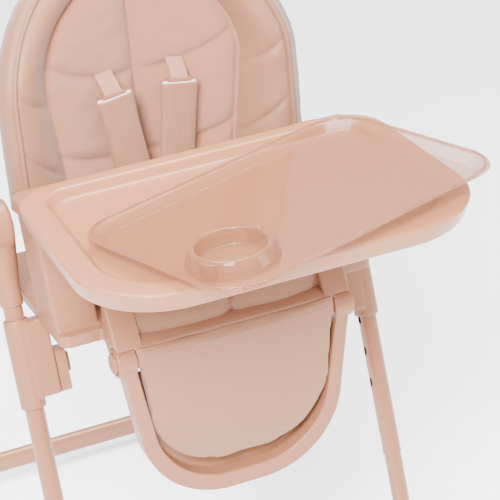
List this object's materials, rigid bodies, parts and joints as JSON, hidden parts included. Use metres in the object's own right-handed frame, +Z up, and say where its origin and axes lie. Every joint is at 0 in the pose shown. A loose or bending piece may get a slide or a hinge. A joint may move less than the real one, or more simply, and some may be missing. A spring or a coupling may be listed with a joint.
{
  "type": "baby high chair",
  "caption": "Folding baby high chair with height-sliding seat, reclining padded back, swinging footrest, sliding tray and a loose clear insert tray with a cup ring.",
  "frame": {"origin": "on the floor, straight below the fold pivots, on the middle plane", "axes": "+Z up, the child faces -Y, +X to the right as seen from in front of -Y looking along +Y"},
  "size_m": [0.648, 1.0978, 1.0776],
  "materials": {
    "frame_paint": "gloss powder-pink paint on steel tube",
    "hub_plastic": "moulded plastic, satin gloss",
    "shell_plastic": "moulded plastic, fine satin",
    "tray_plastic": "moulded plastic, smooth satin gloss",
    "clear_plastic": "clear moulded plastic, faint warm tint",
    "leatherette": "matte fine-grain leatherette",
    "webbing": "woven webbing",
    "buckle_plastic": "moulded plastic, satin",
    "pin_steel": "plain steel",
    "wheel_plastic": "hard plastic tread",
    "foot_rubber": "matte rubber"
  },
  "bodies": {
    "front_frame": {"front_leg_left": "frame_paint", "front_leg_right": "frame_paint", "lower_leg_left": "frame_paint", "lower_leg_right": "frame_paint", "front_cross_bar": "frame_paint", "front_foot_left": "hub_plastic", "front_foot_right": "hub_plastic", "foot_pads": "foot_rubber", "front_hub_left": "hub_plastic", "front_hub_right": "hub_plastic", "pivot_pins": "pin_steel"},
    "rear_frame": {"rear_leg_left": "frame_paint", "rear_leg_right": "frame_paint", "rear_cross_bar": "frame_paint", "rear_hub_left": "hub_plastic", "rear_hub_right": "hub_plastic", "rear_corner_left": "hub_plastic", "rear_corner_right": "hub_plastic", "wheel_axles": "pin_steel"},
    "wheel_left": {"wheel_left": "wheel_plastic"},
    "wheel_right": {"wheel_right": "wheel_plastic"},
    "fold_button_left": {"fold_button_left": "hub_plastic"},
    "fold_button_right": {"fold_button_right": "hub_plastic"},
    "seat": {"slider_left": "hub_plastic", "slider_right": "hub_plastic", "slider_cover_left": "hub_plastic", "slider_cover_right": "hub_plastic", "seat_pan": "shell_plastic", "side_panel_left": "shell_plastic", "side_panel_right": "shell_plastic", "armrest_left": "shell_plastic", "armrest_right": "shell_plastic", "footrest_bracket_left": "shell_plastic", "footrest_bracket_right": "shell_plastic", "recline_brackets": "shell_plastic", "hinge_pins": "pin_steel", "seat_pad": "leatherette", "crotch_strap": "webbing", "waist_straps": "webbing", "buckle": "buckle_plastic"},
    "height_button_left": {"height_button_left": "hub_plastic"},
    "height_button_right": {"height_button_right": "hub_plastic"},
    "latch_pin_left": {"latch_pin_left": "pin_steel"},
    "latch_pin_right": {"latch_pin_right": "pin_steel"},
    "buckle_button": {"buckle_button": "buckle_plastic"},
    "backrest": {"back_shell": "shell_plastic", "back_pad": "leatherette", "shoulder_straps": "webbing", "shoulder_pads": "leatherette", "strap_loops": "buckle_plastic"},
    "recline_handle": {"recline_handle": "shell_plastic"},
    "footrest": {"footrest_hoop": "shell_plastic", "calf_pad": "leatherette"},
    "footrest_button_left": {"footrest_button_left": "shell_plastic"},
    "footrest_button_right": {"footrest_button_right": "shell_plastic"},
    "tray": {"main_tray": "tray_plastic", "tray_arms": "tray_plastic", "crotch_post": "tray_plastic"},
    "tray_release": {"tray_release": "tray_plastic"},
    "clear_tray": {"clear_tray": "clear_plastic"}
  },
  "joints": [
    {"name": "leg_fold", "type": "hinge", "parent": "front_frame", "child": "rear_frame", "pos_m": [0, 0, 0.735], "axis": [-1, 0, 0], "range_deg": [0, 45]},
    {"name": "wheel_spin_left", "type": "hinge", "parent": "rear_frame", "child": "wheel_left", "pos_m": [-0.3127, 0.51473, 0.03], "axis": [1, 0, 0], "continuous": true},
    {"name": "fold_button_press_left", "type": "slide", "parent": "rear_frame", "child": "fold_button_left", "axis": [1, 0, 0], "range_m": [0, 0.0035], "stiffness_N_per_m": 400, "springref_m": -0.004},
    {"name": "wheel_spin_right", "type": "hinge", "parent": "rear_frame", "child": "wheel_right", "pos_m": [0.3127, 0.51473, 0.03], "axis": [1, 0, 0], "continuous": true},
    {"name": "fold_button_press_right", "type": "slide", "parent": "rear_frame", "child": "fold_button_right", "axis": [-1, 0, 0], "range_m": [0, 0.0035], "stiffness_N_per_m": 400, "springref_m": -0.004},
    {"name": "seat_height", "type": "slide", "parent": "front_frame", "child": "seat", "axis": [0, 0.3074, 0.9516], "range_m": [-0.1485, 0]},
    {"name": "height_button_press_left", "type": "slide", "parent": "seat", "child": "height_button_left", "axis": [-1, 0, 0], "range_m": [0, 0.0035], "stiffness_N_per_m": 400, "springref_m": -0.004},
    {"name": "latch_pin_draw_left", "type": "slide", "parent": "seat", "child": "latch_pin_left", "axis": [1, 0, 0], "range_m": [0, 0.0035]},
    {"name": "height_button_press_right", "type": "slide", "parent": "seat", "child": "height_button_right", "axis": [1, 0, 0], "range_m": [0, 0.0035], "stiffness_N_per_m": 400, "springref_m": -0.004},
    {"name": "latch_pin_draw_right", "type": "slide", "parent": "seat", "child": "latch_pin_right", "axis": [-1, 0, 0], "range_m": [0, 0.0035]},
    {"name": "buckle_press", "type": "slide", "parent": "seat", "child": "buckle_button", "axis": [0, 1, 0], "range_m": [0, 0.0015], "stiffness_N_per_m": 400, "springref_m": -0.002},
    {"name": "backrest_recline", "type": "hinge", "parent": "seat", "child": "backrest", "pos_m": [0, 0.137, 0.612], "axis": [-1, 0, 0], "range_deg": [0, 40]},
    {"name": "recline_handle_pull", "type": "slide", "parent": "backrest", "child": "recline_handle", "axis": [0, 0.0611, 0.9981], "range_m": [0, 0.012], "stiffness_N_per_m": 300, "springref_m": -0.008},
    {"name": "footrest_swing", "type": "hinge", "parent": "seat", "child": "footrest", "pos_m": [0, -0.2044, 0.586], "axis": [-1, 0, 0], "range_deg": [0, 75]},
    {"name": "footrest_button_press_left", "type": "slide", "parent": "footrest", "child": "footrest_button_left", "axis": [1, 0, 0], "range_m": [0, 0.0025], "stiffness_N_per_m": 400, "springref_m": -0.004},
    {"name": "footrest_button_press_right", "type": "slide", "parent": "footrest", "child": "footrest_button_right", "axis": [-1, 0, 0], "range_m": [0, 0.0025], "stiffness_N_per_m": 400, "springref_m": -0.004},
    {"name": "tray_slide", "type": "slide", "parent": "seat", "child": "tray", "axis": [0, -1, 0], "range_m": [0, 0.06]},
    {"name": "tray_release_pull", "type": "slide", "parent": "tray", "child": "tray_release", "axis": [0, 1, 0], "range_m": [0, 0.005], "stiffness_N_per_m": 400, "springref_m": -0.004},
    {"name": "clear_tray_lift", "type": "slide", "parent": "tray", "child": "clear_tray", "axis": [0, 0, 1], "range_m": [0, 0.06]}
  ],
  "couplings": [
    {"joint": "latch_pin_draw_left", "follows": "height_button_press_left", "ratio": 1},
    {"joint": "latch_pin_draw_right", "follows": "height_button_press_right", "ratio": 1}
  ]
}
